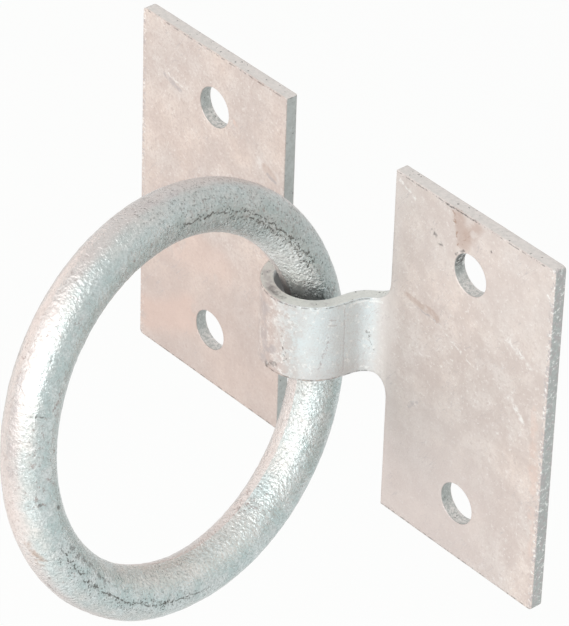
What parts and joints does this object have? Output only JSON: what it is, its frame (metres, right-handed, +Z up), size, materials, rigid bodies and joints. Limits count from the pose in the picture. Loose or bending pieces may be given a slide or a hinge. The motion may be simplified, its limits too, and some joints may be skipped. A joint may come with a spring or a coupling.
{
  "type": "mooring ring",
  "caption": "Galvanised round mooring ring swinging in an upright eye folded out of a flat wall plate with bolt holes in its wings.",
  "frame": {"origin": "centre of the four bolt holes, on the plate's back face, which lies on the wall", "axes": "+X across the wall along the plate, +Z up, +Y into the wall; the ring stands out towards -Y"},
  "size_m": [0.136, 0.1021, 0.0989],
  "materials": {
    "galvanised_plate": "hot-dip galvanised sheet, matt and faintly mottled, with scuffs",
    "galvanised_ring": "hot-dip galvanised bar, grainy and bright"
  },
  "bodies": {
    "plate": {"eye_plate": "galvanised_plate"},
    "ring": {"ring": "galvanised_ring"}
  },
  "joints": [
    {"name": "ring_swing", "type": "hinge", "parent": "plate", "child": "ring", "pos_m": [0.00054, -0.0097, 0], "axis": [-0.1547, 0, 0.988], "range_deg": [-95.5, 84.5]}
  ]
}
